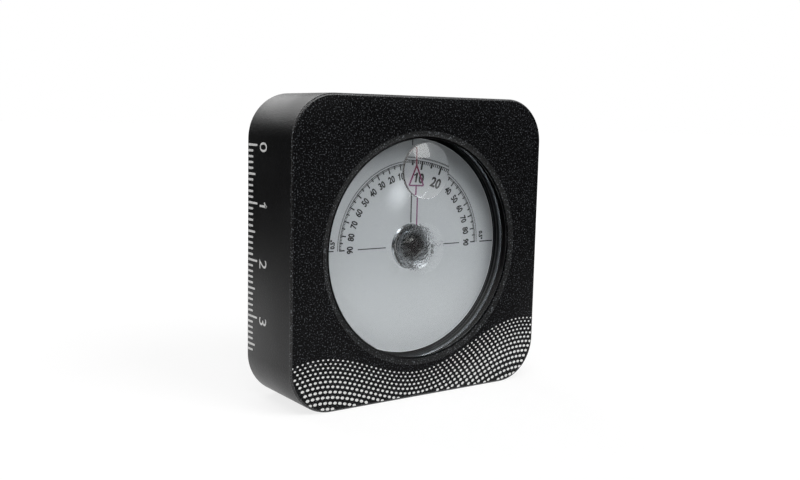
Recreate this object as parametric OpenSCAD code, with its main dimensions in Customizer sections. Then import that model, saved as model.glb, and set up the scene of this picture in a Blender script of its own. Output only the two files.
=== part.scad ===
// Pocket inclinometer: a liquid-damped dial on a horizontal pivot, in a sealed
// capsule, in a square metal block whose straight sides are laid on the slope.
// Millimetres. +Z is up, the dial faces -Y, and the origin is the middle of the
// underside. The pivot runs along Y through the centre of the window.

/* [Block] */
// Width of the block
body_w = 54; // [53:1:80]
// Height of the block
body_h = 54; // [53:1:80]
// Depth of the block, front to back
body_d = 16; // [14.6:0.2:24]
// Radius of the four upright corners
corner_r = 8; // [6:0.5:12]
// Chamfer round the front and back edges
edge_chamfer = 0.4; // [0.1:0.1:1]

/* [Window] */
// Width of the black ring that shows between the dial and the window
window_reveal = 0.4; // [0.2:0.1:1]
// Width of the shallow bevel round the window
bevel_w = 1; // [0.3:0.1:1.5]
// Depth of that bevel
bevel_depth = 0.3; // [0.1:0.05:0.5]
// Thickness of the lip that holds the capsule in
lip_t = 0.9; // [0.6:0.1:1.6]

/* [Crystal and magnifier] */
// Thickness of the clear front crystal
crystal_t = 3.6; // [2.4:0.1:4]
// Width of the crystal's rim behind the lip
crystal_seat = 1.7; // [1.2:0.1:2]
// How far the crystal's face stands forward into the window
crystal_rise = 0.5; // [0.2:0.1:0.5]
// Gap round that face, inside the window
face_gap = 0.3; // [0.1:0.1:0.6]
// Radius of the boss behind the crystal's centre
boss_r = 4.1; // [2.5:0.1:5]
// Height of that boss
boss_h = 1; // [0.6:0.1:1.1]
// Radius of the magnifier
magnifier_r = 5; // [3:0.1:6]
// Height of the magnifier's upright edge
magnifier_edge = 0.5; // [0.3:0.1:1]
// Rise of its dome above that edge
magnifier_rise = 1.2; // [0.6:0.1:1.6]
// Distance from the magnifier to the dial's edge
magnifier_inset = 0.65; // [0.5:0.05:3]
// Thickness of the flat seal under the crystal
seal_t = 0.4; // [0.2:0.1:0.6]

/* [Dial] */
// Diameter of the dial
dial_d = 39.2; // [36:0.2:40]
// Thickness of the dial
dial_t = 0.5; // [0.3:0.1:0.8]
// Space between the crystal and the dial
dial_gap = 1.6; // [1.5:0.1:2.4]
// Thickness of the weight behind the dial
weight_t = 1; // [0.6:0.1:1.6]
// Width of the weight, measured along a radius
weight_w = 6.5; // [4:0.5:8]
// Angle that the weight spans
weight_span = 70; // [40:5:120]

/* [Pivot] */
// Radius of the pivots at the ends of the staff
pivot_r = 0.5; // [0.35:0.05:0.6]
// Radius of the staff between its pivots
staff_r = 0.9; // [0.8:0.05:1.1]
// Radius of the jewels
jewel_r = 1.4; // [1.2:0.05:1.8]
// Length of each jewel
jewel_t = 1.2; // [1.1:0.1:1.5]
// Radius of the hub that carries the dial
hub_r = 1.6; // [1.5:0.1:2]
// Radius of the hub's cap, in front of the dial
cap_r = 4.15; // [3.6:0.05:4.5]
// Thickness of that cap
cap_t = 0.3; // [0.2:0.05:0.35]
// Width of the cap's turned bevel
cap_bevel = 0.35; // [0.2:0.05:0.5]
// Radius of the bearing screw
bearing_r = 2.5; // [2.2:0.1:3]

/* [Capsule] */
// Radial gap between the dial and the capsule's wall
dial_clearance = 0.9; // [0.6:0.1:1]
// Width of the capsule's rim round the crystal
cup_rim = 1.25; // [0.8:0.05:1.3]
// Thickness of the capsule's back
cup_back_t = 1.8; // [1.7:0.1:2.4]
// Thickness of the soft ring behind the capsule
cushion_t = 1.3; // [1.1:0.1:2]
// Distance of the filler and the diaphragm from the chamber's wall
port_inset = 8.5; // [7:0.5:9]
// Radius of the expansion diaphragm
diaphragm_r = 4.5; // [3.5:0.1:5]
// Radius of the filler plug's head
plug_r = 2.6; // [2.2:0.1:3]

/* [Back cover] */
// Width of the metal that shows round the back cover
cover_margin = 3; // [2.2:0.1:3]
// Thickness of the back cover
cover_t = 1.5; // [1.2:0.1:1.8]
// Distance of the screws from the cover's edges
screw_inset = 3.5; // [3.2:0.1:4.5]
// Radius of the screws' heads
screw_head_r = 1.9; // [1.6:0.1:2.1]
// Radius of the screws' shanks
screw_r = 0.95; // [0.8:0.05:1]
// Length of the screws under their heads
screw_l = 5; // [3:0.5:6]

/* [Hidden] */
$fn = 96;

// Clearances
fit = 0.02;              // pressed and threaded pieces
slip = 0.05;             // pieces that drop into place, and a pivot in its jewel
pocket_gap = 0.1;        // capsule in the block, and cover in its recess
end_play = 0.15;         // staff between the bottoms of its two jewels
cut = 0.1;               // how far a cutting tool runs past a face

// Small details of fixed size
jewel_hole = 0.8;        // depth of a pivot's hole in its jewel
pivot_tip = 0.2;         // chamfer at a pivot's tip
shoulder_out = 0.3;      // how far the staff's thick part runs behind the hub
pivot_bare = 0.4;        // rear pivot that shows between staff and jewel
cap_groove_r = 3;        // turned groove in the cap's face
cap_groove_w = 0.25;
cap_groove_depth = 0.12;
flange_t = 0.6;          // flange that backs the dial
hub_tail = 1;            // length of the hub behind its flange
flange_over = 1.1;       // how far that flange is wider than the hub
locknut_gap = 0.3;       // between the locknut and the back cover
locknut_over = 1.6;      // how far the locknut is wider than the bearing screw
notch_w = 0.9;           // spanner notches in the locknut
notch_depth = 0.7;
slot_w = 0.6;            // screwdriver slots
slot_depth = 0.4;
weight_inset = 1.3;      // counterweight to the dial's edge
seal_inset = 0.2;        // crystal seal to the walls beside it
diaphragm_t = 0.4;
retainer_t = 0.7;
retainer_w = 1.3;
port_r = 1.6;            // hole from the liquid to the diaphragm
plug_shank_r = 1.45;
plug_head_t = 0.7;
plug_seal_t = 0.3;
cushion_in = 4.5;        // cushion ring's inner edge to the capsule's edge
cushion_out = 1;         // cushion ring's outer edge to the capsule's edge
head_t = 0.95;           // height of a countersunk head
recess_w = 0.5;          // cross recess in a screw's head
recess_l = 2;
recess_depth = 0.6;
tap_extra = 1;           // tapped hole beyond the screw's tip

// Places along Y, from the front face to the back
front_y = -body_d / 2;
crystal_y = front_y + lip_t;
face_y = crystal_y - crystal_rise;
crystal_back_y = crystal_y + crystal_t;
boss_end_y = crystal_back_y + boss_h;
ledge_y = crystal_back_y + seal_t;
dial_y = crystal_back_y + dial_gap;
dial_back_y = dial_y + dial_t;
flange_back_y = dial_back_y + flange_t;
hub_back_y = flange_back_y + hub_tail;
back_y = body_d / 2;
cover_y = back_y - cover_t;
cup_back_y = cover_y - cushion_t;
chamber_back_y = cup_back_y - cup_back_t;
locknut_back_y = cover_y - locknut_gap;

// Radii, from the dial outwards
dial_r = dial_d / 2;
window_r = dial_r + window_reveal;
chamber_r = dial_r + dial_clearance;
crystal_r = chamber_r + crystal_seat;
cup_r = crystal_r + slip + cup_rim;
pocket_r = cup_r + pocket_gap;
port_offset = chamber_r - port_inset;

// Pivot
axis_z = body_h / 2;
shoulder_front_y = dial_y - cap_t;
shoulder_back_y = hub_back_y + shoulder_out;
rear_jewel_y = shoulder_back_y + pivot_bare;
staff_front_y = boss_end_y - jewel_hole + end_play;
staff_back_y = rear_jewel_y + jewel_hole - end_play;

// Magnifier, filler, diaphragm and cover
magnifier_z = dial_r - magnifier_r - magnifier_inset;
cover_w = body_w - 2 * cover_margin;
cover_h = body_h - 2 * cover_margin;
cover_r = corner_r - cover_margin;
screw_x = cover_w / 2 - screw_inset;
screw_z = cover_h / 2 - screw_inset;

// Turns a shape drawn along +Z so that it runs along +Y from y. Its axis lies
// x and z beside the pivot.
module along_y(y, x = 0, z = 0)
    translate([x, y, axis_z + z]) rotate([-90, 0, 0]) children();

module rod(r, y1, y2, x = 0)
    along_y(y1, x) cylinder(r = r, h = y2 - y1);

module ring(r_out, r_in, y1, y2, x = 0)
    difference() {
        rod(r_out, y1, y2, x);
        rod(r_in, y1 - cut, y2 + cut, x);
    }

// Cuts a slot across a screw's end at y
module screwdriver_slot(r, y, x = 0)
    translate([x, y, axis_z]) cube([2 * r + cut, 2 * slot_depth, slot_w], center = true);

// A cone frustum from radius r1 at y1 to radius r2 at y2
module cone(r1, r2, y1, y2)
    along_y(y1) cylinder(r1 = r1, r2 = r2, h = y2 - y1);

// Rounded square, centred on the pivot, from y1 to y2
module slab(w, h, r, y1, y2)
    translate([0, y1, axis_z]) rotate([-90, 0, 0]) linear_extrude(y2 - y1) {
        square([w - 2 * r, h], center = true);
        square([w, h - 2 * r], center = true);
        for (x = [-1, 1], z = [-1, 1])
            translate([x * (w / 2 - r), z * (h / 2 - r)]) circle(r = r);
    }

// The chamfered block: four round corner posts with straight bars between them
module block() {
    post_x = body_w / 2 - corner_r;
    post_z = body_h / 2 - corner_r;
    for (x = [-post_x, post_x], z = [-post_z, post_z]) corner_post(x, z);
    straight_side(2 * post_x, body_h);
    rotate_in_plane() straight_side(2 * post_z, body_w);
}

module corner_post(x, z)
    along_y(front_y, x, z) rotate_extrude() polygon([
        [0, 0], [corner_r - edge_chamfer, 0], [corner_r, edge_chamfer],
        [corner_r, body_d - edge_chamfer], [corner_r - edge_chamfer, body_d], [0, body_d]
    ]);

// A bar of the given length along X, whose other two sides carry the chamfers
module straight_side(length, height)
    translate([-length / 2, 0, axis_z]) rotate([90, 0, 90]) linear_extrude(length) polygon([
        [front_y, -height / 2 + edge_chamfer], [front_y + edge_chamfer, -height / 2],
        [back_y - edge_chamfer, -height / 2], [back_y, -height / 2 + edge_chamfer],
        [back_y, height / 2 - edge_chamfer], [back_y - edge_chamfer, height / 2],
        [front_y + edge_chamfer, height / 2], [front_y, height / 2 - edge_chamfer]
    ]);

module rotate_in_plane()
    translate([0, 0, axis_z]) rotate([0, 90, 0]) translate([0, 0, -axis_z]) children();

module at_screws()
    for (x = [-screw_x, screw_x], z = [-screw_z, screw_z]) translate([x, 0, z]) children();

module housing() color("#1b1c1e")
    difference() {
        block();
        rod(window_r, front_y - cut, crystal_y + cut);
        cone(window_r + bevel_w * (1 + cut / bevel_depth), window_r, front_y - cut, front_y + bevel_depth);
        rod(pocket_r, crystal_y, back_y + cut);
        slab(cover_w + 2 * pocket_gap, cover_h + 2 * pocket_gap, cover_r + pocket_gap,
            cover_y, back_y + cut);
        at_screws() rod(screw_r + slip, back_y - head_t - screw_l - tap_extra, back_y);
    }

module front_crystal() color("#dfe6ea", 0.35)
    difference() {
        union() {
            rod(window_r - face_gap, face_y, crystal_y + cut);
            rod(crystal_r, crystal_y, crystal_back_y);
            rod(boss_r, crystal_y, boss_end_y);
        }
        rod(jewel_r + fit, boss_end_y - jewel_t - fit, boss_end_y + cut);
    }

module magnifier() color("#e8eef0", 0.35) {
    dome_r = (pow(magnifier_r, 2) + pow(magnifier_rise, 2)) / (2 * magnifier_rise);
    dome_turn = asin(magnifier_r / dome_r);
    steps = 24;
    dome = [for (i = [0 : steps])
        let (a = dome_turn * (1 - i / steps))
        [dome_r * sin(a), magnifier_edge + magnifier_rise - dome_r * (1 - cos(a))]];
    translate([0, face_y, axis_z + magnifier_z]) rotate([90, 0, 0]) rotate_extrude()
        polygon(concat([[0, 0], [magnifier_r, 0]], dome));
}

module crystal_seal() color("#202020")
    ring(crystal_r - seal_inset, chamber_r + seal_inset, crystal_back_y, ledge_y);

module capsule_cup() color("#141516")
    difference() {
        rod(cup_r, crystal_y, cup_back_y);
        rod(crystal_r + slip, crystal_y - cut, ledge_y);
        rod(chamber_r, ledge_y - cut, chamber_back_y);
        rod(bearing_r + slip, chamber_back_y - cut, cup_back_y + cut);
        // diaphragm pocket and its port
        rod(diaphragm_r + slip, cup_back_y - diaphragm_t - retainer_t, cup_back_y + cut, -port_offset);
        rod(port_r, chamber_back_y - cut, cup_back_y, -port_offset);
        // filler hole and its counterbore
        rod(plug_r + slip, cup_back_y - plug_head_t - plug_seal_t, cup_back_y + cut, port_offset);
        rod(plug_shank_r + slip, chamber_back_y - cut, cup_back_y, port_offset);
    }

module front_jewel() color("#2a2426")
    difference() {
        rod(jewel_r, boss_end_y - jewel_t, boss_end_y);
        rod(pivot_r + slip, boss_end_y - jewel_hole, boss_end_y + cut);
    }

module rear_jewel() color("#2a2426")
    difference() {
        rod(jewel_r, rear_jewel_y, rear_jewel_y + jewel_t);
        rod(pivot_r + slip, rear_jewel_y - cut, rear_jewel_y + jewel_hole);
    }

module bearing_screw() color("#c9a24a")
    difference() {
        rod(bearing_r, rear_jewel_y, locknut_back_y);
        rod(jewel_r + fit, rear_jewel_y - cut, rear_jewel_y + jewel_t + fit);
        screwdriver_slot(bearing_r, locknut_back_y);
    }

module bearing_locknut() color("#b8923f")
    difference() {
        ring(bearing_r + locknut_over, bearing_r + slip, cup_back_y, locknut_back_y);
        for (side = [-1, 1])
            translate([side * (bearing_r + locknut_over), locknut_back_y, axis_z])
                cube([2 * notch_depth, 2 * cushion_t, notch_w], center = true);
    }

module diaphragm() color("#2a2a2a")
    rod(diaphragm_r, cup_back_y - retainer_t - diaphragm_t, cup_back_y - retainer_t, -port_offset);

module diaphragm_retainer() color("#b9bcc0")
    ring(diaphragm_r, diaphragm_r - retainer_w, cup_back_y - retainer_t, cup_back_y, -port_offset);

module filler_plug() color("#c9a24a")
    difference() {
        union() {
            rod(plug_r, cup_back_y - plug_head_t, cup_back_y, port_offset);
            rod(plug_shank_r, chamber_back_y, cup_back_y - cut, port_offset);
        }
        screwdriver_slot(plug_r, cup_back_y, port_offset);
    }

module filler_seal() color("#202020")
    ring(plug_r - slip, plug_shank_r + slip, cup_back_y - plug_head_t - plug_seal_t,
        cup_back_y - plug_head_t, port_offset);

module cushion_ring() color("#2b2b2b")
    ring(cup_r - cushion_out, cup_r - cushion_in, cup_back_y, cover_y);

module back_cover() color("#1b1c1e")
    difference() {
        slab(cover_w, cover_h, cover_r, cover_y, back_y);
        at_screws() {
            rod(screw_r + slip, cover_y - cut, back_y);
            cone(screw_r + slip, screw_head_r + slip, back_y - head_t, back_y);
            rod(screw_head_r + slip, back_y, back_y + cut);
        }
    }

module cover_screws() color("#3a3b3d")
    at_screws() difference() {
        union() {
            rod(screw_r, back_y - head_t - screw_l, back_y - head_t + cut);
            cone(screw_r, screw_head_r, back_y - head_t, back_y);
        }
        for (turn = [0, 90])
            along_y(back_y - recess_depth) rotate([0, 0, turn])
                translate([-recess_l / 2, -recess_w / 2, 0]) cube([recess_l, recess_w, 2 * recess_depth]);
    }

module dial_disc() color("#d9dcdf")
    ring(dial_r, hub_r + fit, dial_y, dial_back_y);

module dial_hub() color("#c9a24a")
    difference() {
        union() {
            rod(hub_r, dial_y, hub_back_y);
            rod(hub_r + flange_over, dial_back_y, flange_back_y);
        }
        rod(staff_r + fit, dial_y - cut, hub_back_y + cut);
    }

module hub_cap() color("#8d9196") {
    cap_y = dial_y - cap_t;
    difference() {
        cone(cap_r - cap_bevel, cap_r, cap_y, dial_y);
        rod(staff_r + fit, cap_y - cut, dial_y + cut);
        ring(cap_groove_r + cap_groove_w, cap_groove_r, cap_y - cut, cap_y + cap_groove_depth);
    }
}

module pivot_staff() color("#8d9196")
    along_y(0) rotate_extrude() polygon([
        [0, staff_front_y], [pivot_r - pivot_tip, staff_front_y],
        [pivot_r, staff_front_y + pivot_tip], [pivot_r, shoulder_front_y],
        [staff_r, shoulder_front_y], [staff_r, shoulder_back_y],
        [pivot_r, shoulder_back_y], [pivot_r, staff_back_y - pivot_tip],
        [pivot_r - pivot_tip, staff_back_y], [0, staff_back_y]
    ]);

module counterweight() color("#b8923f") {
    outer = dial_r - weight_inset;
    along_y(dial_back_y) rotate([0, 0, 90 - weight_span / 2])
        rotate_extrude(angle = weight_span)
            translate([outer - weight_w, 0]) square([weight_w, weight_t]);
}

housing();
front_crystal();
magnifier();
crystal_seal();
capsule_cup();
front_jewel();
rear_jewel();
bearing_screw();
bearing_locknut();
diaphragm();
diaphragm_retainer();
filler_plug();
filler_seal();
cushion_ring();
back_cover();
cover_screws();
dial_disc();
dial_hub();
hub_cap();
pivot_staff();
counterweight();
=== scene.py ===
"""Dresses the pocket inclinometer: a weighted dial in a liquid-damped capsule,
in a black metal block with a printed rule. All lengths are in metres."""

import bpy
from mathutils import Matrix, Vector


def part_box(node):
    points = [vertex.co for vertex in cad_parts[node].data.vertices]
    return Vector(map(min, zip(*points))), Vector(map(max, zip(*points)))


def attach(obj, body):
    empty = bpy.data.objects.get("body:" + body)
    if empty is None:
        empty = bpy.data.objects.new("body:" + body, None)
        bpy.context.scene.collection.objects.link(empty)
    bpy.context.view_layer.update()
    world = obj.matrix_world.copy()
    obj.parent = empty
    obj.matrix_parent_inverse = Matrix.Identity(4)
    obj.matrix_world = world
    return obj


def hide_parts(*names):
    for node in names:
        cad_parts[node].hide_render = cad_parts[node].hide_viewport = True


bl_info = {
    "name": "Pocket inclinometer",
    "version": (1, 0, 0),
    "blender": (4, 5, 0),
    "location": "View3D > Sidebar > Inclinometer",
    "description": "Finishes, prints and lenses of a pocket inclinometer",
    "category": "Object",
}

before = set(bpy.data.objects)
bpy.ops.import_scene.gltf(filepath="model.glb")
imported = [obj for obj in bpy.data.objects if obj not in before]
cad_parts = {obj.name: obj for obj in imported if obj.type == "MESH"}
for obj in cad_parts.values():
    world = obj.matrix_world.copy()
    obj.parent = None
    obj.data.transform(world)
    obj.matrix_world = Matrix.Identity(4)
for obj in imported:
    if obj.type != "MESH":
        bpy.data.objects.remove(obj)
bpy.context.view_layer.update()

import math

import bmesh
import bpy
from bpy.props import FloatProperty, FloatVectorProperty, IntProperty, PointerProperty
from mathutils import Matrix, Vector

MM = 0.001
SAME_PLACE = 1e-7  # corners this near to a place along y lie at it
WELD = 1e-8  # corners this near to each other are merged
SHARP_EDGE = math.radians(25)  # an edge that turns less is shaded smooth
TURNED_STEPS = 192  # steps round the window, the crystal and the capsule
AMBIENT = 0.3  # strength of the even light all round

# The photograph's camera, fitted to the block's outline and its rule
CAMERA_ANGLES = (35.237, 7.253, 1.284)  # yaw, pitch down and roll, in degrees
CAMERA_PLACE = (-0.10116, -0.14351, 0.05004)
FOCAL_LENGTH = 43.016  # in millimetres, on a sensor 36 mm wide

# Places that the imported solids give
BLOCK_LOW, BLOCK_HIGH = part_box("housing")
CRYSTAL_LOW, CRYSTAL_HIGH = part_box("front_crystal")
LENS_LOW, LENS_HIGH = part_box("magnifier")
DIAL_LOW, DIAL_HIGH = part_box("dial_disc")
COVER_LOW, COVER_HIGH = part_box("back_cover")
AXIS_Z = (BLOCK_LOW.z + BLOCK_HIGH.z) / 2
FRONT_Y = BLOCK_LOW.y
BACK_Y = BLOCK_HIGH.y
SIDE_X = BLOCK_LOW.x


def linear(hex_colour):
    """Turns an sRGB hex colour such as "#1b1c1e" into linear RGBA."""
    channels = [int(hex_colour[i:i + 2], 16) / 255 for i in (1, 3, 5)]
    return [c / 12.92 if c <= 0.04045 else ((c + 0.055) / 1.055) ** 2.4 for c in channels] + [1.0]


def length(name, description, millimetres):
    """A size in metres, written here in millimetres."""
    return FloatProperty(name=name, description=description, default=millimetres * MM,
                         unit="LENGTH", min=0.0, precision=5)


def colour(name, description, hex_colour):
    """A colour, written here as an sRGB hex value."""
    return FloatVectorProperty(name=name, description=description, subtype="COLOR", size=4,
                               min=0.0, max=1.0, default=linear(hex_colour))


class InclinometerSizes(bpy.types.PropertyGroup):
    """Sizes of the shaped and printed details."""
    corner_radius: length("Corner radius", "Radius of the block's upright corners", 8)
    edge_round: length("Edge rounding", "Rounding of the front and back edges", 0.4)
    bevel_radius: length("Bevel radius", "Outer radius of the bevel round the window", 21)
    bevel_depth: length("Bevel depth", "Depth of that bevel", 0.3)
    window_radius: length("Window radius", "Radius of the round window", 20)
    pocket_radius: length("Pocket radius", "Radius of the pocket that holds the capsule", 23.6)
    recess_gap: length("Recess gap", "Gap round the back cover", 0.1)
    recess_radius: length("Recess corner radius", "Corner radius of the back cover's recess", 5.1)
    boss_radius: length("Boss radius", "Radius of the boss behind the crystal", 4.1)
    boss_height: length("Boss height", "Height of that boss", 1)
    jewel_hole_radius: length("Jewel hole radius", "Radius of the hole for the front jewel", 1.42)
    jewel_hole_depth: length("Jewel hole depth", "Depth of that hole", 1.22)
    ground_radius: length("Ground spot radius", "Radius of the ground spot over the pivot", 4.65)
    lens_edge: length("Magnifier edge", "Height of the magnifier's upright edge", 0.5)
    lens_fillet: length("Magnifier fillet", "Rounding between that edge and the dome", 0.22)
    crystal_rise: length("Crystal rise", "How far the crystal's face stands into the window", 0.5)
    face_gap: length("Face gap", "Gap round that face, inside the window", 0.3)
    chamber_radius: length("Chamber radius", "Radius of the chamber that the dial swings in", 20.5)
    lip_width: length("Lip width", "Width of the polished edge of the capsule's mouth", 0.3)
    lip_height: length("Lip height", "From the crystal down to the ledge that edge stands on", 0.4)
    ink: length("Ink thickness", "Thickness of the printed ink", 0.012)
    scale_radius: length("Scale radius", "Radius of the degree ticks' outer ends", 15.1)
    fine_radius: length("Fine scale radius", "Radius of the fine half-degree ticks", 15.55)
    number_radius: length("Number radius", "Radius of the dial numbers' centres", 12.92)
    number_height: length("Dial number height", "Height of the dial's numbers", 1.32)
    rule_height: length("Rule number height", "Height of the rule's numbers", 2.6)
    rule_start: length("Rule start", "Height of the rule's zero tick", 45)
    rule_pitch: length("Rule pitch", "Distance between two ticks of the rule", 1)
    dot_pitch: length("Dot pitch", "Distance between two printed dots of a row", 0.98)
    row_pitch: length("Dot row pitch", "Distance between two rows of dots", 0.8)
    dot_radius: length("Dot radius", "Radius of the largest printed dots", 0.26)
    rule_ticks: IntProperty(name="Rule ticks", description="Number of ticks on the rule",
                            default=37, min=1)
    dot_rows: IntProperty(name="Dot rows", description="Number of rows of printed dots",
                          default=14, min=1)


class InclinometerColours(bpy.types.PropertyGroup):
    """Colours of the finishes."""
    block: colour("Block", "Black anodised block", "#040405")
    grain: colour("Grain", "Bright grains of the blasted surface", "#585b5f")
    side_grain: colour("Side grain", "Grains of the block's smoother sides", "#1e1f22")
    bevel: colour("Bevel", "Turned bevel round the window", "#08090a")
    # grain of the bevel and the front edge, drawn brighter than the face's grain: partly a painted glint
    bevel_grain: colour("Bevel grain", "Bright grains of that bevel", "#6c7074")
    capsule: colour("Capsule", "Black anodised capsule", "#08090a")
    # the capsule's paler rings are a painted highlight along its tool rings
    ring: colour("Capsule rings", "Tool rings worn paler on the capsule's wall", "#606366")
    lip: colour("Lip", "Polished edge of the capsule's mouth", "#7d8185")
    print_white: colour("White print", "White ink of the rule and the dots", "#fbfbfa")
    dial: colour("Dial", "Pale grey dial", "#a5a9ac")
    ink: colour("Dial ink", "Black ink of the dial's scale", "#040405")
    index_low: colour("Index, lower end", "Magenta of the index mark", "#621250")
    index_high: colour("Index, upper end", "Crimson of the index mark", "#5e0a2a")
    # the dial's whiter rim is a painted highlight along its edge
    dial_edge: colour("Dial edge", "White rim of the dial", "#cdd1d3")
    cap_rim: colour("Hub cap's rim", "Bright steel of the turned cap", "#a0a4a8")
    steel: colour("Steel", "Staff and retaining ring", "#9ea2a6")
    oxide: colour("Black oxide", "Cover screws", "#2c2d2f")
    # the cap's dark middle is painted shade round the pivot
    cap: colour("Hub cap", "Black oxide at the middle of the turned cap", "#0c0c0d")
    brass: colour("Brass", "Hub, weight, bearing screw and plug", "#c39a4c")
    jewel: colour("Jewel", "Dark agate bearings", "#120f10")
    rubber: colour("Rubber", "Seals and cushion ring", "#1c1c1c")
    floor: colour("Floor", "Pale studio floor", "#8e8e8e")


def sizes():
    return bpy.context.scene.inclinometer_sizes


def colours():
    return bpy.context.scene.inclinometer_colours


# ---------------------------------------------------------------- materials

def add_node(tree, kind, inputs=None, **settings):
    """Adds a shader node of a kind such as "Math". inputs maps each socket to a value or
    to what feeds it, where a node stands for its first output that is in use."""
    node = tree.nodes.new("ShaderNode" + kind)
    for name, value in settings.items():
        setattr(node, name, value)
    for socket, value in (inputs or {}).items():
        if isinstance(value, bpy.types.Node):
            value = next(output for output in value.outputs if output.enabled)
        if isinstance(value, bpy.types.NodeSocket):
            tree.links.new(value, node.inputs[socket])
        else:
            node.inputs[socket].default_value = value
    return node


def blank_material(name):
    """A new material, its empty node tree and the object's own coordinates."""
    material = bpy.data.materials.new(name)
    material.use_nodes = True
    tree = material.node_tree
    tree.nodes.clear()
    place = add_node(tree, "TexCoord").outputs["Object"]
    return material, tree, place


def seen_and_mirrored(tree):
    """Two masks for the floor and the sky: 1 where the camera sees them, straight or
    through the clear pieces, and 1 where a gloss mirrors them."""
    path = add_node(tree, "LightPath").outputs
    matt = add_node(tree, "Math", {0: path["Diffuse Depth"], 1: 1.0}, operation="MINIMUM")
    shine = add_node(tree, "Math", {0: path["Glossy Depth"], 1: 1.0}, operation="MINIMUM")
    not_matt = add_node(tree, "Math", {0: 1.0, 1: matt}, operation="SUBTRACT")
    through = add_node(tree, "Math", {0: path["Is Transmission Ray"], 1: not_matt},
                       operation="MULTIPLY")
    mirrored = add_node(tree, "Math", {0: through, 1: shine}, operation="MULTIPLY")
    straight = add_node(tree, "Math", {0: through, 1: mirrored}, operation="SUBTRACT")
    return [add_node(tree, "Math", {0: path[ray], 1: kind}, operation="MAXIMUM")
            for ray, kind in (("Is Camera Ray", straight), ("Is Glossy Ray", mirrored))]


def surface(tree, inputs):
    """Ends a material with its shader and output."""
    shader = add_node(tree, "BsdfPrincipled", inputs)
    add_node(tree, "OutputMaterial", {"Surface": shader})


def blasted_anodised_black(name, dark, bright, specular, roughness=0.36):
    """Bead-blasted, black anodised aluminium: dead black, with fine grains that catch
    the light, and a little glossier in clouds 11 mm across. Grain of 0.1 mm is drawn
    at about 0.25 mm, or it would not show."""
    material, tree, place = blank_material(name)
    grain = add_node(tree, "TexNoise",
                     {"Vector": place, "Scale": 1 / (0.25 * MM), "Detail": 1.0, "Roughness": 0.5})
    cloud = add_node(tree, "TexNoise", {"Vector": place, "Scale": 0.09 / MM, "Detail": 3.0})
    fleck = add_node(tree, "MapRange", {"Value": grain, "From Min": 0.56, "From Max": 0.74},
                     interpolation_type="SMOOTHSTEP")
    tone = add_node(tree, "Mix", {0: fleck, 6: dark, 7: bright}, data_type="RGBA")
    rough = add_node(tree, "MapRange",
                     {"Value": cloud, "From Min": 0.3, "From Max": 0.7,
                      "To Min": roughness, "To Max": roughness + 0.08})
    bump = add_node(tree, "Bump", {"Height": grain, "Strength": 0.6, "Distance": 0.06 * MM})
    surface(tree, {"Base Color": tone, "Roughness": rough, "Normal": bump,
                   "Specular IOR Level": specular})
    return material


def turned_anodised_black(name, tint, ring_highlight_tint):
    """Turned, black anodised aluminium: satin black, with tool rings along its depth,
    whose paler colour is a painted highlight. Rings of 0.1 mm are drawn 0.8 mm apart, or they would not
    show."""
    material, tree, place = blank_material(name)
    ring_gap = 0.8 * MM
    rings = add_node(tree, "TexWave", {"Vector": place, "Scale": math.tau / (20 * ring_gap)},
                     wave_type="BANDS", bands_direction="Y")
    # paler bands on the rings: a painted highlight
    worn = add_node(tree, "MapRange",
                    {"Value": rings.outputs["Fac"], "From Min": 0.6, "From Max": 1.0})
    tone = add_node(tree, "Mix", {0: worn, 6: tint, 7: ring_highlight_tint}, data_type="RGBA")
    rough = add_node(tree, "MapRange",
                     {"Value": rings.outputs["Fac"], "To Min": 0.3, "To Max": 0.42})
    surface(tree, {"Base Color": tone, "Roughness": rough})
    return material


def printed_ink(name, low, high, z_low, z_high, roughness):
    """Screen-printed ink: an even film, thinner where the mesh of the screen lay, whose
    tone may change from z_low to z_high. A mesh of 0.1 mm is drawn three to the
    millimetre, or it would not show."""
    material, tree, place = blank_material(name)
    split = add_node(tree, "SeparateXYZ", {"Vector": place})
    climb = add_node(tree, "MapRange",
                     {"Value": split.outputs["Z"], "From Min": z_low, "From Max": z_high})
    tone = add_node(tree, "Mix", {0: climb, 6: low, 7: high}, data_type="RGBA")
    film = add_node(tree, "TexNoise", {"Vector": place, "Scale": 3 / MM, "Detail": 1.0})
    thin = add_node(tree, "MapRange",
                    {"Value": film, "From Min": 0.35, "From Max": 0.65, "To Min": 0.9})
    worn = add_node(tree, "HueSaturation", {"Color": tone, "Value": thin})
    surface(tree, {"Base Color": worn, "Roughness": roughness})
    return material


def from_pivot(tree, place):
    """The distance of a place from the pivot's axis."""
    flat = add_node(tree, "Mapping",
                    {"Vector": place, "Location": (0, 0, -AXIS_Z), "Scale": (1, 0, 1)})
    return add_node(tree, "VectorMath", {0: flat}, operation="LENGTH")


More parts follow.
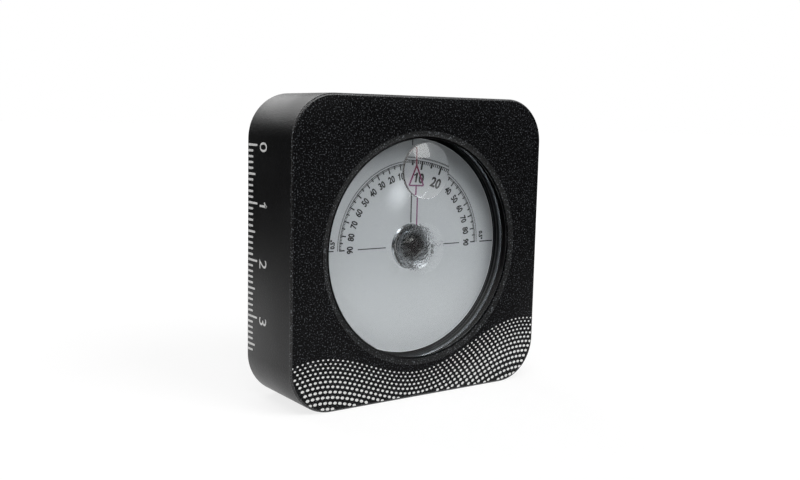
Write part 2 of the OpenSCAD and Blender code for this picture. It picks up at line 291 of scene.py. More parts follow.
def dial_enamel(name, tint, rim_highlight_tint):
    """Sprayed enamel on the dial: pale, even and eggshell matt, with clouds 22 mm across,
    and a whiter rim along the edge that is a painted highlight. Spray drops of 0.1 mm are
    drawn at about 0.55 mm, or they would not show."""
    material, tree, place = blank_material(name)
    mist = add_node(tree, "TexNoise", {"Vector": place, "Scale": 1.8 / MM, "Detail": 2.0})
    cloud = add_node(tree, "TexNoise", {"Vector": place, "Scale": 0.045 / MM, "Detail": 1.0})
    both = add_node(tree, "Math", {0: mist, 1: cloud}, operation="ADD")
    value = add_node(tree, "MapRange",
                     {"Value": both, "From Min": 0.7, "From Max": 1.3, "To Min": 0.97, "To Max": 1.03})
    tone = add_node(tree, "HueSaturation", {"Color": tint, "Value": value})
    dial_radius = (DIAL_HIGH.x - DIAL_LOW.x) / 2
    # a whiter band along the dial's edge: a painted highlight
    thick = add_node(tree, "MapRange",
                     {"Value": from_pivot(tree, place), "From Min": dial_radius - 0.18 * MM,
                      "From Max": dial_radius - 0.1 * MM})
    paint = add_node(tree, "Mix", {0: thick, 6: tone, 7: rim_highlight_tint}, data_type="RGBA")
    bump = add_node(tree, "Bump", {"Height": mist, "Strength": 0.02, "Distance": 0.02 * MM})
    surface(tree, {"Base Color": paint, "Roughness": 0.55, "Normal": bump})
    return material


def clear_acrylic(name, roughness=0.0, grain=0.0, glare=1.0, depth=0.05, width=0.3, frost=0.0):
    """Cast acrylic: water clear where polished, mottled where it is ground, in grains of
    the depth and width given in millimetres, and as strong as grain says. glare is the
    share of its plain reflection that it keeps, and frost the share of the light that
    the grains scatter white."""
    material, tree, place = blank_material(name)
    grit = add_node(tree, "TexNoise", {"Vector": place, "Scale": 1 / (width * MM), "Detail": 0.5})
    bump = add_node(tree, "Bump", {"Height": grit, "Strength": grain, "Distance": depth * MM})
    surface(tree, {"Base Color": linear("#fbfcfc"), "Roughness": roughness, "IOR": 1.49,
                   "Specular Tint": (glare, glare, glare, 1.0), "Transmission Weight": 1.0 - frost,
                   "Normal": bump})
    return material


def mottled(tree, place, tint, per_mm, detail, low, high):
    """A fine pattern with so many grains to the millimetre, and the tint made darker and
    brighter by it, from low to high times its own brightness."""
    pattern = add_node(tree, "TexNoise", {"Vector": place, "Scale": per_mm / MM, "Detail": detail})
    value = add_node(tree, "MapRange", {"Value": pattern, "To Min": low, "To Max": high})
    return pattern, add_node(tree, "HueSaturation", {"Color": tint, "Value": value})


def black_edge_paint(name, tint):
    """Black lacquer on a lens's ground edge: dead black, with the grain of the grinding
    seen through it, so that no stray light comes in from the side. Grain of 0.1 mm is
    drawn at about 0.7 mm, or it would not show."""
    material, tree, place = blank_material(name)
    _, tone = mottled(tree, place, tint, per_mm=1.5, detail=2.0, low=0.5, high=1.6)
    surface(tree, {"Base Color": tone, "Roughness": 0.4, "Specular IOR Level": 0.3})
    return material


def turned_metal(name, tint, roughness, core=None):
    """Lathe-turned metal: fine rings round the pivot that spread the highlight. Rings of
    0.1 mm are drawn 0.35 mm apart, or they would not show. core is the tint and the
    radius of a middle part painted dark as the shade round the pivot, with a soft edge."""
    material, tree, place = blank_material(name)
    centred = add_node(tree, "Mapping", {"Vector": place, "Location": (0, 0, -AXIS_Z)})
    rings = add_node(tree, "TexWave", {"Vector": centred, "Scale": 0.9 / MM, "Distortion": 0.6},
                     wave_type="RINGS", rings_direction="Y")
    spread = add_node(tree, "MapRange",
                      {"Value": rings.outputs["Fac"], "To Min": roughness, "To Max": roughness + 0.12})
    bump = add_node(tree, "Bump",
                    {"Height": rings.outputs["Fac"], "Strength": 0.1, "Distance": 0.01 * MM})
    if core:
        shade_tint, radius = core
        # darkest at the pivot and fading out over 0.8 mm: painted shade round the pivot
        outside = add_node(tree, "MapRange",
                           {"Value": from_pivot(tree, place), "From Min": radius,
                            "From Max": radius + 0.8 * MM})
        tint = add_node(tree, "Mix", {0: outside, 6: shade_tint, 7: tint}, data_type="RGBA")
    surface(tree, {"Base Color": tint, "Metallic": 1.0, "Roughness": spread, "Normal": bump})
    return material


def agate(name, tint):
    """Polished agate: nearly black and glassy, with faint bands 1.4 mm wide."""
    material, tree, place = blank_material(name)
    _, tone = mottled(tree, place, tint, per_mm=0.7, detail=2.0, low=0.7, high=1.2)
    surface(tree, {"Base Color": tone, "Roughness": 0.08, "IOR": 1.54, "Specular IOR Level": 0.1})
    return material


def nitrile_rubber(name, tint):
    """Moulded nitrile rubber: matt, dark and slightly dusty. Specks of 0.1 mm are drawn
    at about 0.7 mm, or they would not show."""
    material, tree, place = blank_material(name)
    dust, tone = mottled(tree, place, tint, per_mm=1.5, detail=3.0, low=0.7, high=1.4)
    bump = add_node(tree, "Bump", {"Height": dust, "Strength": 0.3, "Distance": 0.03 * MM})
    surface(tree, {"Base Color": tone, "Roughness": 0.75, "Normal": bump})
    return material


def painted_board(name, near_tint, far_tint):
    """Matt painted board, white to the eye with the object's soft shadow kept. A gloss
    mirrors it pale close by and dark further off, as a small table in a dark room."""
    material, tree, place = blank_material(name)
    reach = add_node(tree, "VectorMath", {0: place}, operation="LENGTH")
    lift = add_node(tree, "MapRange",
                    {"Value": reach, "From Min": 0.05, "From Max": 0.35, "To Min": 0.78},
                    interpolation_type="SMOOTHSTEP")
    near = add_node(tree, "MapRange",
                    {"Value": reach, "From Min": 0.06, "From Max": 0.2, "To Min": 1.0, "To Max": 0.0},
                    interpolation_type="SMOOTHSTEP")
    seen, gloss = seen_and_mirrored(tree)
    direct = add_node(tree, "Math", {0: seen, 1: lift}, operation="MULTIPLY")
    mirrored = add_node(tree, "Math", {0: near, 1: gloss}, operation="MULTIPLY")
    glow = add_node(tree, "Math", {0: direct, 1: mirrored}, operation="ADD")
    not_near = add_node(tree, "Math", {0: 1.0, 1: near}, operation="SUBTRACT")
    far = add_node(tree, "Math", {0: not_near, 1: gloss}, operation="MULTIPLY")
    paint = add_node(tree, "Mix", {0: far, 6: near_tint, 7: far_tint}, data_type="RGBA")
    matt = add_node(tree, "BsdfDiffuse", {"Color": paint})
    white = add_node(tree, "Emission", {"Strength": glow})
    both = add_node(tree, "AddShader", {0: matt, 1: white})
    add_node(tree, "OutputMaterial", {"Surface": both})
    return material


# ------------------------------------------------------------------- shapes

def round_steps(bm, profile, steps, centre_z=AXIS_Z):
    """Turns a profile of (radius, y) points round an axis along Y at centre_z."""
    verts = [bm.verts.new((radius, y, centre_z)) for radius, y in profile]
    edges = [bm.edges.new(pair) for pair in zip(verts, verts[1:])]
    bmesh.ops.spin(bm, geom=verts + edges, cent=(0, 0, centre_z), axis=(0, 1, 0),
                   angle=math.tau, steps=steps, use_merge=True)


def rounded_slab(bm, low, high, radius, segments):
    """A box from low to high with rounded upright corners."""
    centre, extent = (low + high) / 2, high - low
    made = bmesh.ops.create_cube(bm, size=1.0)["verts"]
    bmesh.ops.scale(bm, vec=extent, verts=made)
    bmesh.ops.translate(bm, vec=centre, verts=made)
    uprights = {e for v in made for e in v.link_edges
                if abs(e.verts[0].co.y - e.verts[1].co.y) > extent.y / 2}
    bmesh.ops.bevel(bm, geom=list(uprights), offset=radius, affect="EDGES",
                    segments=segments, profile=0.5, material=-1)


def flat_at(bm, *places):
    """The faces that lie flat at one of the given places along y."""
    return [f for f in bm.faces
            if any(all(abs(v.co.y - y) < SAME_PLACE for v in f.verts) for y in places)]


def fill_between(bm, y):
    """Fills the flat ring between the open loops that lie at y."""
    rims = [e for e in bm.edges if e.is_boundary
            and all(abs(v.co.y - y) < SAME_PLACE for v in e.verts)]
    bmesh.ops.triangle_fill(bm, edges=rims, use_beauty=True)


def as_object(name, bm, materials):
    """Closes the mesh, marks its hard edges and makes the object."""
    bmesh.ops.remove_doubles(bm, verts=bm.verts, dist=WELD)
    bmesh.ops.recalc_face_normals(bm, faces=bm.faces)
    for face in bm.faces:
        face.smooth = True
    for edge in bm.edges:
        edge.smooth = edge.calc_face_angle(0.0) < SHARP_EDGE
    mesh = bpy.data.meshes.new(name)
    bm.to_mesh(mesh)
    bm.free()
    for material in materials:
        mesh.materials.append(material)
    piece = bpy.data.objects.new(name, mesh)
    bpy.context.scene.collection.objects.link(piece)
    return piece


def flat_shape(round_front, round_back, long, width, thick):
    """A thin flat bar from the local origin along +X, as a mesh to be stamped. Either end
    may be round, and with both round and no straight part it is a dot."""
    bm = bmesh.new()
    half = width / 2
    if round_front or round_back:
        made = bmesh.ops.create_circle(bm, cap_ends=True, segments=12, radius=half)["verts"]
        centre = half / 9  # corners nearer than this to the middle stay there
        for v in made:
            if v.co.x > centre:
                v.co.x += long - width if round_front else long - half - v.co.x
            elif v.co.x < -centre and not round_back:
                v.co.x = -half
        bmesh.ops.translate(bm, vec=(half, 0, 0), verts=made)
        out = bmesh.ops.extrude_face_region(bm, geom=bm.faces[:], use_keep_orig=True)["geom"]
        top = [g for g in out if isinstance(g, bmesh.types.BMVert)]
        bmesh.ops.translate(bm, vec=(0, 0, thick), verts=top)
    else:
        made = bmesh.ops.create_cube(bm, size=1.0)["verts"]
        bmesh.ops.translate(bm, vec=(0.5, 0, 0.5), verts=made)
        bmesh.ops.scale(bm, vec=(long, width, thick), verts=made)
    shape = bpy.data.meshes.new("stamp")
    bm.to_mesh(shape)
    bm.free()
    return shape


def stamp(bm, shape, place, trim=None):
    """Adds a copy of the shape, put in place, with each corner moved by trim."""
    copy = shape.copy()
    copy.transform(place)
    if trim:
        for v in copy.vertices:
            v.co = trim(v.co)
    bm.from_mesh(copy)
    bpy.data.meshes.remove(copy)


def bar(bm, width, long, thick, place):
    """A flat bar from the local origin along +X, thick along +Z, put in place."""
    shape = flat_shape(False, False, long, width, thick)
    stamp(bm, shape, place)
    bpy.data.meshes.remove(shape)


def lettering(bm, words, height, thick, place, narrow=1.0, bold=0.0):
    """Raised figures, centred on the local origin, height tall along Y, put in place.
    narrow is their share of the plain width, and bold how far their outline is moved
    out."""
    curve = bpy.data.curves.new("figures", "FONT")
    curve.body = words
    curve.align_x = "CENTER"
    curve.extrude = 0.05
    curve.offset = bold
    curve.resolution_u = 4
    holder = bpy.data.objects.new("figures", curve)
    bpy.context.scene.collection.objects.link(holder)
    bpy.context.view_layer.update()
    graph = bpy.context.evaluated_depsgraph_get()
    mesh = bpy.data.meshes.new_from_object(holder.evaluated_get(graph))
    low = Vector([min(v.co[i] for v in mesh.vertices) for i in range(3)])
    high = Vector([max(v.co[i] for v in mesh.vertices) for i in range(3)])
    grow = height / (high.y - low.y)
    middle = (low + high) / 2
    mesh.transform(Matrix.Diagonal((grow * narrow, grow, thick / (high.z - low.z), 1))
                   @ Matrix.Translation((-middle.x, -middle.y, -low.z)))
    mesh.transform(place)
    bm.from_mesh(mesh)
    if words.startswith("1"):
        # the flag at the top of the 1, a bar that falls to the left at 38 degrees
        stem, flag_width, flag_long = 0.15 * height, 0.13 * height, 0.42 * height
        left = (low.x - middle.x) * grow * narrow + stem
        lean = math.radians(180 + 38)
        bar(bm, flag_width, flag_long, thick,
            place @ Matrix.Translation((left, height / 2 - stem / 2, 0))
            @ Matrix.Rotation(lean, 4, "Z"))
    bpy.data.objects.remove(holder)
    bpy.data.curves.remove(curve)
    bpy.data.meshes.remove(mesh)


def facing_front(x, y, z, turn=0.0):
    """Puts local XY flat in a plane that faces -Y, turned clockwise by turn."""
    return (Matrix.Translation((x, y, z)) @ Matrix.Rotation(math.pi / 2, 4, "X")
            @ Matrix.Rotation(-turn, 4, "Z"))


def on_dial(angle, radius):
    """A place on the dial's face, at an angle clockwise from the top."""
    return facing_front(radius * math.sin(angle), DIAL_LOW.y,
                        AXIS_Z + radius * math.cos(angle), angle)


def dress_node(name, material):
    """Gives a carried-over solid its finish."""
    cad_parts[name].material_slots[0].material = material


def carried(piece, body, nodes=()):
    """Ties a piece to its body and hides the solids that it stands for."""
    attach(piece, body)
    if nodes:
        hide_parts(*nodes)


# ---------------------------------------------------------------- operators

class InclinometerHousing(bpy.types.Operator):
    """The black block: rounded corners, soft edges, window and back recess"""
    bl_idname = "inclinometer.housing"
    bl_label = "Housing"

    def execute(self, context):
        s, c = sizes(), colours()
        bm = bmesh.new()
        rounded_slab(bm, BLOCK_LOW, BLOCK_HIGH, s.corner_radius, segments=24)
        rims = list({e for f in flat_at(bm, FRONT_Y, BACK_Y) for e in f.edges})
        bmesh.ops.bevel(bm, geom=rims, offset=s.edge_round, affect="EDGES", segments=4,
                        profile=0.5, material=-1)
        bmesh.ops.delete(bm, geom=flat_at(bm, FRONT_Y, BACK_Y), context="FACES_ONLY")
        gap = Vector((s.recess_gap, 0, s.recess_gap))
        recess_high = Vector((COVER_HIGH.x, BACK_Y, COVER_HIGH.z)) + gap
        rounded_slab(bm, COVER_LOW - gap, recess_high, s.recess_radius, segments=12)
        bmesh.ops.delete(bm, geom=flat_at(bm, COVER_LOW.y, BACK_Y), context="FACES_ONLY")
        lip_back = CRYSTAL_LOW.y + s.crystal_rise
        round_steps(bm, [(s.bevel_radius, FRONT_Y), (s.window_radius, FRONT_Y + s.bevel_depth),
                         (s.window_radius, lip_back), (s.pocket_radius, lip_back),
                         (s.pocket_radius, COVER_LOW.y)], TURNED_STEPS)
        for y in (FRONT_Y, COVER_LOW.y, BACK_Y):
            fill_between(bm, y)
        finishes = [
            blasted_anodised_black("blasted_anodised_aluminium", c.block, c.grain, specular=0.08),
            # the bevel and the front edge get brighter grains than the face: real grain and partly a
            # painted glint
            blasted_anodised_black("anodised_aluminium_bevel", c.bevel, c.bevel_grain,
                                   specular=0.35, roughness=0.28),
            blasted_anodised_black("satin_anodised_aluminium", c.block, c.side_grain, specular=0.25),
            blasted_anodised_black("anodised_aluminium_edge", c.block, c.bevel_grain,
                                   specular=0.5, roughness=0.22),
        ]
        face, bevel, side, edge = range(len(finishes))
        bm.normal_update()
        for f in bm.faces:
            middle = f.calc_center_median()
            reach = math.hypot(middle.x, middle.z - AXIS_Z)
            depth = min(middle.y - FRONT_Y, BACK_Y - middle.y)
            if reach < s.pocket_radius:
                on_bevel = 0 < depth < s.bevel_depth and reach > s.window_radius
                f.material_index = bevel if on_bevel else face
            elif 0 < depth < s.edge_round:
                f.material_index = edge
            elif abs(f.normal.y) < 0.5:
                f.material_index = side
        piece = as_object("housing_block", bm, finishes)
        carried(piece, "block", ["housing"])
        return {"FINISHED"}


class InclinometerCrystal(bpy.types.Operator):
    """The clear crystal and its magnifier, one piece of acrylic"""
    bl_idname = "inclinometer.crystal"
    bl_label = "Crystal and magnifier"

    def execute(self, context):
        s = sizes()
        rim = (CRYSTAL_HIGH.x - CRYSTAL_LOW.x) / 2
        front, boss_end = CRYSTAL_LOW.y, CRYSTAL_HIGH.y
        back = boss_end - s.boss_height
        hole_y = boss_end - s.jewel_hole_depth
        lens_r = (LENS_HIGH.x - LENS_LOW.x) / 2
        lens_z = (LENS_LOW.z + LENS_HIGH.z) / 2
        rise = LENS_HIGH.y - LENS_LOW.y - s.lens_edge
        dome_r = (lens_r ** 2 + rise ** 2) / (2 * rise)
        fillet = s.lens_fillet
        fillet_turn = math.pi / 2 - math.asin(lens_r / dome_r)
        turn = math.asin((lens_r - fillet * (1 - math.cos(fillet_turn))) / dome_r)
        fillet_y = LENS_LOW.y + dome_r * (1 - math.cos(turn)) + fillet * math.sin(fillet_turn)
        bm = bmesh.new()
        soft = 0.06 * MM  # width of the small chamfers
        level = soft / 4  # faces this near to the front lie flat on it
        seat, face_r = front + s.crystal_rise, s.window_radius - s.face_gap
        round_steps(bm, [(face_r - soft, front), (face_r, front + soft), (face_r, seat),
                         (rim, seat), (rim, back), (s.boss_radius, back),
                         (s.boss_radius, boss_end - soft), (s.boss_radius - soft, boss_end),
                         (s.jewel_hole_radius, boss_end), (s.jewel_hole_radius, hole_y),
                         (0, hole_y)], TURNED_STEPS)
        fillet_steps, dome_steps = 6, 32
        rounding = [fillet_turn * i / fillet_steps for i in range(fillet_steps)]
        arc = [turn * (1 - i / dome_steps) for i in range(dome_steps + 1)]
        upright = [(lens_r, front)]
        rounded = [(lens_r - fillet * (1 - math.cos(a)), fillet_y - fillet * math.sin(a))
                   for a in rounding]
        dome = [(dome_r * math.sin(a), LENS_LOW.y + dome_r * (1 - math.cos(a))) for a in arc]
        round_steps(bm, upright + rounded + dome, steps=128, centre_z=lens_z)
        spot = Matrix.Translation((0, front, AXIS_Z)) @ Matrix.Rotation(math.pi / 2, 4, "X")
        bmesh.ops.create_circle(bm, cap_ends=True, segments=96, radius=s.ground_radius, matrix=spot)
        bmesh.ops.remove_doubles(bm, verts=bm.verts, dist=WELD)
        fill_between(bm, front)
        finishes = [
            clear_acrylic("cast_acrylic"),
            clear_acrylic("ground_acrylic", roughness=0.24, grain=1.0, glare=0.0, depth=0.13,
                          width=0.42),
            clear_acrylic("ground_lens_edge", roughness=0.25, grain=0.3, frost=0.25),
            black_edge_paint("black_edge_paint", colours().capsule),
            clear_acrylic("coated_acrylic", glare=0.3),
        ]
        ground, lens_edge, painted, coated = range(1, len(finishes))
        for face in bm.faces:
            middle = face.calc_center_median()
            reach = math.hypot(middle.x, middle.z - AXIS_Z)
            if abs(middle.y - front) < level:
                face.material_index = ground if reach < s.ground_radius else coated
            elif fillet_y < middle.y < front - level:
                face.material_index = lens_edge
            elif reach > face_r - soft and middle.y < back - soft:
                face.material_index = painted
        piece = as_object("crystal_and_magnifier", bm, finishes)
        piece.visible_shadow = False
        carried(piece, "block", ["front_crystal", "magnifier"])
        return {"FINISHED"}


class InclinometerLip(bpy.types.Operator):
    """The polished edge of the capsule's mouth, behind the crystal"""
    bl_idname = "inclinometer.lip"
    bl_label = "Capsule's lip"

    def execute(self, context):
        s = sizes()
        back = CRYSTAL_HIGH.y - s.boss_height
        foot, half = back + s.lip_height, s.lip_width / 2
        arc_steps = 8
        arc = [math.pi * i / arc_steps for i in range(arc_steps + 1)]
        bm = bmesh.new()
        clear_of_crystal = 0.05 * MM
        rise = clear_of_crystal - s.lip_height
        profile = [(s.chamber_radius + half * math.cos(a), foot + rise * math.sin(a)) for a in arc]
        round_steps(bm, profile + profile[:1], TURNED_STEPS)
        polished = turned_metal("polished_edge", colours().lip, 0.12)
        piece = as_object("capsule_lip", bm, [polished])
        carried(piece, "block")
        return {"FINISHED"}


class InclinometerIndex(bpy.types.Operator):
    """The red reading mark printed behind the crystal: a line and an open triangle"""
    bl_idname = "inclinometer.index"
    bl_label = "Index mark"

    def execute(self, context):
        s, c = sizes(), colours()
        bm = bmesh.new()
        y = CRYSTAL_HIGH.y - s.boss_height + s.ink
        line_width = 0.24 * MM
        # heights of the line's foot, of the triangle's base and tip, and of the line's top
        foot_z, base_z, tip_z, top_z = (z * MM for z in (31.1, 38.65, 41.6, 45.6))
        x, half_base = 0.15 * MM, 1.22 * MM
        left, right, tip = (x - half_base, base_z), (x + half_base, base_z), (x, tip_z)
        lines = [((x, foot_z), (x, base_z)), (tip, (x, top_z)), (left, right), (left, tip), (right, tip)]
        for (x1, z1), (x2, z2) in lines:
            turn = -math.atan2(z2 - z1, x2 - x1)
            bar(bm, line_width, math.hypot(x2 - x1, z2 - z1), s.ink, facing_front(x1, y, z1, turn))
        red = printed_ink("index_ink", c.index_low, c.index_high, base_z, tip_z, 0.5)
        piece = as_object("index_mark", bm, [red])
        carried(piece, "block")
        return {"FINISHED"}


class InclinometerScale(bpy.types.Operator):
    """The dial's degree scale: ticks, level lines and plumb line"""
    bl_idname = "inclinometer.scale"
    bl_label = "Dial scale"

    def execute(self, context):
        s, c = sizes(), colours()
        bm = bmesh.new()
        fine, single, broad = 0.08 * MM, 0.12 * MM, 0.23 * MM  # widths of the lines
        half_long, one_long, five_long, ten_long = 0.2 * MM, 0.4 * MM, 0.65 * MM, 1.1 * MM
        degree_long = s.scale_radius * math.radians(1)
        unit = flat_shape(False, False, 1.0, 1.0, 1.0)

        def tick(degrees, outer, inner, width):
            """A line from the outer radius straight in to the inner one."""
            place = (on_dial(math.radians(degrees), outer) @ Matrix.Rotation(-math.pi / 2, 4, "Z")
                     @ Matrix.Diagonal((outer - inner, width, s.ink, 1)))
            stamp(bm, unit, place)

        for half_degree in range(-180, 181):
            tick(half_degree / 2, s.fine_radius, s.fine_radius - half_long, fine)
        for degree in range(-90, 91):
            reach = ten_long if degree % 10 == 0 else five_long if degree % 5 == 0 else one_long
            width = broad if degree % 5 == 0 else single
            tick(degree, s.scale_radius, s.scale_radius - reach, width)
        for degree in range(-90, 90):
            # a short straight piece of the ring that joins the ticks' outer ends
            place = on_dial(math.radians(degree + 0.5), s.scale_radius)
            place = place @ Matrix.Translation((-0.5 * degree_long, 0, 0))
            stamp(bm, unit, place @ Matrix.Diagonal((degree_long, fine, s.ink, 1)))
        # the level lines at the sides and the plumb line: angle, then outer end, inner
        # end and width in millimetres
        for degrees, outer, inner, width in (
                (-90, 19.4, 16.25, 0.2), (-90, 11.3, 5.4, 0.17),
                (90, 19.4, 16.25, 0.2), (90, 11.3, 5.4, 0.17),
                (0, 12.3, 4.3, 0.22), (0, 19.3, 18.3, 0.2)):
            tick(degrees, outer * MM, inner * MM, width * MM)
        bpy.data.meshes.remove(unit)
        ink = printed_ink("scale_ink", c.ink, c.ink, 0, 1, 0.5)
        piece = as_object("dial_scale", bm, [ink])
        carried(piece, "dial")
        return {"FINISHED"}


class InclinometerNumbers(bpy.types.Operator):
    """The dial's numbers, tens of degrees either side of zero"""
    bl_idname = "inclinometer.numbers"
    bl_label = "Dial numbers"

    def execute(self, context):
        s, c = sizes(), colours()
        bm = bmesh.new()
        for tens in range(-9, 10):
            a = math.radians(10 * tens)
            lettering(bm, str(abs(10 * tens)), s.number_height, s.ink, on_dial(a, s.number_radius),
                      narrow=0.78, bold=0.035)
        # the small marks above the level lines
        mark_radius, mark_lift, mark_height = 16.5 * MM, 1.2 * MM, 0.95 * MM
        for side in (-1, 1):
            place = on_dial(side * math.pi / 2, mark_radius)
            place = place @ Matrix.Translation((-side * mark_lift, 0, 0))
            lettering(bm, "0.5°", mark_height, s.ink, place, narrow=0.9, bold=0.05)
        ink = printed_ink("number_ink", c.ink, c.ink, 0, 1, 0.5)
        piece = as_object("dial_numbers", bm, [ink])
        carried(piece, "dial")
        return {"FINISHED"}


class InclinometerRule(bpy.types.Operator):
    """The white millimetre rule printed on the block's side"""
    bl_idname = "inclinometer.rule"
    bl_label = "Side rule"

    def execute(self, context):
        s, c = sizes(), colours()
        bm = bmesh.new()
        edge_y = BACK_Y - s.edge_round
        # local X runs down the side, Y to the front and Z out of the side
        to_side = Matrix(((0, 0, -1, SIDE_X), (0, -1, 0, 0), (-1, 0, 0, 0), (0, 0, 0, 1)))

        def on_side(y, z, turn=0.0):
            """Puts local XY flat on the block's left side."""
            return Matrix.Translation((0, y, z)) @ to_side @ Matrix.Rotation(turn, 4, "Z")

        tick_width, one_long, five_long, ten_long = 0.42 * MM, 1.9 * MM, 2.7 * MM, 3.5 * MM
        ticks = {reach: flat_shape(True, False, reach, tick_width, s.ink)
                 for reach in (one_long, five_long, ten_long)}
        for i in range(s.rule_ticks):
            reach = ten_long if i % 10 == 0 else five_long if i % 5 == 0 else one_long
            place = on_side(edge_y, s.rule_start - i * s.rule_pitch, math.pi / 2)
            stamp(bm, ticks[reach], place)
        number_y, number_drop = 1.95 * MM, 0.3 * MM
        for digit in range(math.ceil(s.rule_ticks / 10)):
            z = s.rule_start - 10 * digit * s.rule_pitch - number_drop
            lettering(bm, str(digit), s.rule_height, s.ink, on_side(number_y, z))
        for shape in ticks.values():
            bpy.data.meshes.remove(shape)
        white = printed_ink("white_print", c.print_white, c.print_white, 0, 1, 0.45)
        piece = as_object("side_rule", bm, [white])
        carried(piece, "block")
        return {"FINISHED"}


class InclinometerDots(bpy.types.Operator):
    """The wave of white dots printed across the foot of the front"""
    bl_idname = "inclinometer.dots"
    bl_label = "Dot wave"
    oval = 1.4  # a dot's length for its width

    def execute(self, context):
        s, c = sizes(), colours()
        bm = bmesh.new()
        flat_half = (BLOCK_HIGH.x - BLOCK_LOW.x) / 2 - s.edge_round
        corner = s.corner_radius - s.edge_round
        middle, climb, swing, wave_long = 7.65, 0.06, 3.0, 45

        def crest(x):
            """Height of the wave's top at x, both in millimetres."""
            return middle + climb * x - swing * math.cos(math.tau * x / wave_long)

        columns = int(2 * flat_half / s.dot_pitch) + 3  # some beyond each end, cut off later
        shape = flat_shape(True, True, 2.0, 2.0, 1.0)
        for row in range(s.dot_rows):
            down = row / s.dot_rows
            # the rows lie further apart towards the foot, and the dots grow to full size
            spread = 0.82 + 0.35 * down
            size = s.dot_radius * (0.55 + 0.45 * min(1.0, 1.8 * down))
            for column in range(columns):
                x = -flat_half + (column - 1 + row % 2 / 2) * s.dot_pitch
                z = crest(x / MM) * MM - row * s.row_pitch * spread
                lean = math.atan2(crest(x / MM + 0.5) - crest(x / MM - 0.5), 1.0)
                self.dot(bm, shape, s, x, z, size, lean, flat_half, corner)
        bpy.data.meshes.remove(shape)
        white = printed_ink("white_dots", c.print_white, c.print_white, 0, 1, 0.45)
        piece = as_object("dot_wave", bm, [white])
        carried(piece, "block")
        return {"FINISHED"}

    def dot(self, bm, shape, s, x, z, size, lean, flat_half, corner):
        """One oval dot, cut off where the flat face or the window's bevel ends."""
        inner = flat_half - corner
        dx, dz = abs(x) - inner, abs(z - AXIS_Z) - inner
        outside = math.hypot(max(dx, 0), max(dz, 0)) - corner
        to_window = math.hypot(x, z - AXIS_Z) - s.bevel_radius
        if outside > 0 or to_window < size * self.oval:
            return

        def trim(at):
            """Moves a corner that is off the flat face back to its edge."""
            at.x = max(-flat_half, min(flat_half, at.x))
            at.z = max(AXIS_Z - flat_half, at.z)
            right, down = abs(at.x) - inner, AXIS_Z - at.z - inner
            reach = math.hypot(right, down)
            if right > 0 and down > 0 and reach > corner:
                at.x = math.copysign(inner + right * corner / reach, at.x)
                at.z = AXIS_Z - inner - down * corner / reach
            return at

        place = facing_front(x, FRONT_Y, z, -lean)
        place = place @ Matrix.Diagonal((self.oval * size, size, s.ink, 1.0))
        stamp(bm, shape, place @ Matrix.Translation((-1, 0, 0)), trim)


class InclinometerWorks(bpy.types.Operator):
    """Finishes of the solids that are kept: capsule, dial, pivot, seals and cover"""
    bl_idname = "inclinometer.works"
    bl_label = "Capsule, dial and cover"

    def execute(self, context):
        c = colours()
        cover = blasted_anodised_black("cover_anodised_aluminium", c.block, c.grain, specular=0.08)
        screws = turned_metal("black_oxide_steel", c.oxide, 0.35)
        # the cap's dark middle, 2 mm in radius, is painted shade round the pivot
        cap = turned_metal("turned_steel_cap", c.cap_rim, 0.1, core=(c.cap, 2.0 * MM))
        capsule = turned_anodised_black("turned_anodised_aluminium", c.capsule, c.ring)
        steel = turned_metal("turned_steel", c.steel, 0.25)
        brass = turned_metal("turned_brass", c.brass, 0.3)
        stone = agate("polished_agate", c.jewel)
        rubber = nitrile_rubber("nitrile_rubber", c.rubber)
        dial = dial_enamel("dial_enamel", c.dial, c.dial_edge)
        finishes = {
            "back_cover": cover, "cover_screws": screws, "capsule_cup": capsule,
            "crystal_seal": rubber, "diaphragm": rubber, "filler_seal": rubber,
            "cushion_ring": rubber, "front_jewel": stone, "rear_jewel": stone,
            "bearing_screw": brass, "bearing_locknut": brass, "filler_plug": brass,
            "counterweight": brass, "dial_hub": brass, "diaphragm_retainer": steel,
            "pivot_staff": steel, "hub_cap": cap, "dial_disc": dial,
        }
        for name, material in finishes.items():
            dress_node(name, material)
        return {"FINISHED"}


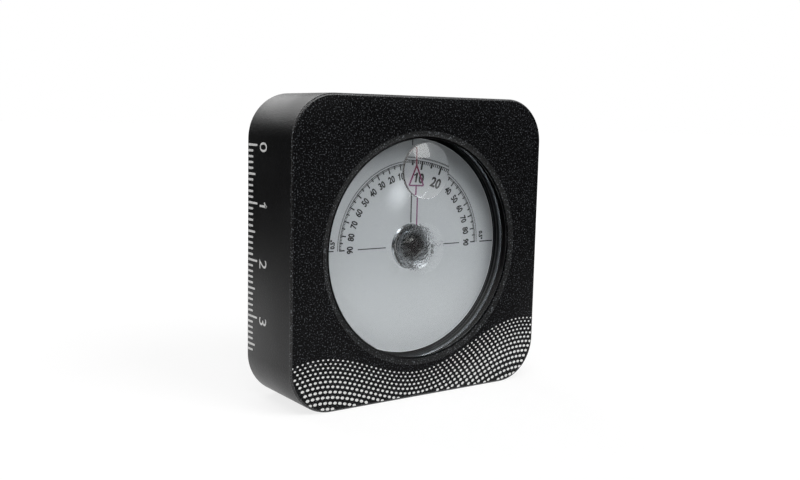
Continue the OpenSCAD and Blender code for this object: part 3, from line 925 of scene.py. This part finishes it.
class InclinometerStage(bpy.types.Operator):
    """Floor, studio light and camera"""
    bl_idname = "inclinometer.stage"
    bl_label = "Stage"

    def execute(self, context):
        self.floor()
        self.world()
        # degrees to the right of the front and up, distance, size and watts
        self.softbox("key_softbox", (22, 38), 0.6, (0.35, 0.38), 1.9)
        self.softbox("rim_softbox", (187, 36), 0.6, (0.5, 0.3), 1.1)
        self.softbox("fill_softbox", (-80, 10), 0.6, (0.5, 0.5), 0.7)
        self.softbox("top_softbox", (-36, 53), 0.5, (0.2, 0.15), 0.5)
        self.patch_of_light()
        self.camera()
        return {"FINISHED"}

    @staticmethod
    def floor():
        """The pale board that the block stands on."""
        bm = bmesh.new()
        bmesh.ops.create_grid(bm, x_segments=8, y_segments=8, size=4.0)
        mesh = bpy.data.meshes.new("floor")
        bm.to_mesh(mesh)
        bm.free()
        mesh.materials.append(painted_board("pale_floor", colours().floor, linear("#161616")))
        floor = bpy.data.objects.new("floor", mesh)
        bpy.context.scene.collection.objects.link(floor)

    @staticmethod
    def world():
        """Even light all round. A gloss mirrors a white ceiling, a white wall behind on the
        right and dark walls elsewhere, and the camera sees plain white."""
        world = bpy.data.worlds.new("studio")
        world.use_nodes = True
        tree = world.node_tree
        tree.nodes.clear()
        heading = add_node(tree, "TexCoord").outputs["Generated"]
        rise = add_node(tree, "SeparateXYZ", {"Vector": heading}).outputs["Z"]
        dark_wall = 0.04
        ceiling = add_node(tree, "MapRange",
                           {"Value": rise, "From Min": 0.2, "From Max": 0.6, "To Min": dark_wall})
        wall_heading = (0.57, 0.82, 0)
        towards = add_node(tree, "VectorMath", {0: heading, 1: wall_heading},
                           operation="DOT_PRODUCT")
        wall = add_node(tree, "MapRange", {"Value": towards, "From Min": 0.75, "From Max": 0.92})
        room = add_node(tree, "Math", {0: ceiling, 1: wall}, operation="MAXIMUM")
        seen, gloss = seen_and_mirrored(tree)
        even = add_node(tree, "Mix", {0: gloss, 2: AMBIENT, 3: room}, data_type="FLOAT")
        level = add_node(tree, "Math", {0: even, 1: seen}, operation="MAXIMUM")
        sky = add_node(tree, "Background", {"Color": (1, 1, 1, 1), "Strength": level})
        add_node(tree, "OutputWorld", {"Surface": sky})
        bpy.context.scene.world = world

    @staticmethod
    def aim(data, target, away, distance):
        """Hangs a lamp at a distance from its target, in the direction away."""
        lamp = bpy.data.objects.new(data.name, data)
        lamp.matrix_world = (Matrix.Translation(target + away * distance)
                             @ away.to_track_quat("Z", "Y").to_matrix().to_4x4())
        lamp.visible_camera = False
        bpy.context.scene.collection.objects.link(lamp)

    def softbox(self, name, heading, distance, size, watts):
        """Aims a softbox at the block's middle. heading is degrees to the right of the
        front, and degrees up."""
        right, up = (math.radians(a) for a in heading)
        away = Vector((math.sin(right) * math.cos(up), -math.cos(right) * math.cos(up), math.sin(up)))
        data = bpy.data.lights.new(name, "AREA")
        data.shape = "RECTANGLE"
        data.size, data.size_y = size
        data.energy = watts
        self.aim(data, Vector((0, 0, AXIS_Z)), away, distance)

    def patch_of_light(self):
        """A narrow spot lamp that makes the soft patch beside the magnifier on the dial."""
        right, above = -2.8 * MM, 9.4 * MM  # the patch's place from the pivot
        away = Vector((0.3, -0.75, 0.6)).normalized()
        data = bpy.data.lights.new("magnifier_patch", "SPOT")
        data.energy = 2.0
        data.spot_size = math.radians(1.0)
        data.spot_blend = 1.0
        data.shadow_soft_size = 1 * MM
        self.aim(data, Vector((right, DIAL_LOW.y, AXIS_Z + above)), away, 0.3)

    @staticmethod
    def camera():
        """Stands where the photograph was taken from, for an 800 x 480 picture."""
        yaw, pitch, roll = (math.radians(a) for a in CAMERA_ANGLES)
        ahead = Vector((math.sin(yaw) * math.cos(pitch), math.cos(yaw) * math.cos(pitch),
                        -math.sin(pitch)))
        level = Vector((math.cos(yaw), -math.sin(yaw), 0))
        upward = level.cross(ahead)
        right = math.cos(roll) * level + math.sin(roll) * upward
        up = math.cos(roll) * upward - math.sin(roll) * level
        data = bpy.data.cameras.new("camera")
        data.sensor_width = 36.0
        data.lens = FOCAL_LENGTH
        data.clip_start = 0.01
        camera = bpy.data.objects.new("camera", data)
        turn = Matrix((right, up, -ahead)).transposed().to_4x4()
        camera.matrix_world = Matrix.Translation(CAMERA_PLACE) @ turn
        bpy.context.scene.collection.objects.link(camera)
        bpy.context.scene.camera = camera


class InclinometerPanel(bpy.types.Panel):
    """Lists the inclinometer's sizes, colours and pieces"""
    bl_idname = "VIEW3D_PT_inclinometer"
    bl_label = "Inclinometer"
    bl_space_type = "VIEW_3D"
    bl_region_type = "UI"
    bl_category = "Inclinometer"

    def draw(self, context):
        layout = self.layout
        for group in (context.scene.inclinometer_sizes, context.scene.inclinometer_colours):
            box = layout.box()
            for name in group.__annotations__:
                box.prop(group, name)
        for operator in OPERATORS:
            layout.operator(operator.bl_idname)


GROUPS = (InclinometerSizes, InclinometerColours)
OPERATORS = (
    InclinometerStage, InclinometerHousing, InclinometerWorks, InclinometerLip,
    InclinometerCrystal, InclinometerIndex,
    InclinometerScale, InclinometerNumbers, InclinometerRule, InclinometerDots,
)


def register():
    for cls in GROUPS + OPERATORS + (InclinometerPanel,):
        bpy.utils.register_class(cls)
    bpy.types.Scene.inclinometer_sizes = PointerProperty(type=InclinometerSizes)
    bpy.types.Scene.inclinometer_colours = PointerProperty(type=InclinometerColours)


def unregister():
    del bpy.types.Scene.inclinometer_sizes
    del bpy.types.Scene.inclinometer_colours
    for cls in reversed(GROUPS + OPERATORS + (InclinometerPanel,)):
        bpy.utils.unregister_class(cls)


def main():
    register()
    bpy.context.scene.view_settings.view_transform = "Standard"
    for operator in OPERATORS:
        group, name = operator.bl_idname.split(".")
        getattr(getattr(bpy.ops, group), name)()


if __name__ == "__main__":
    main()
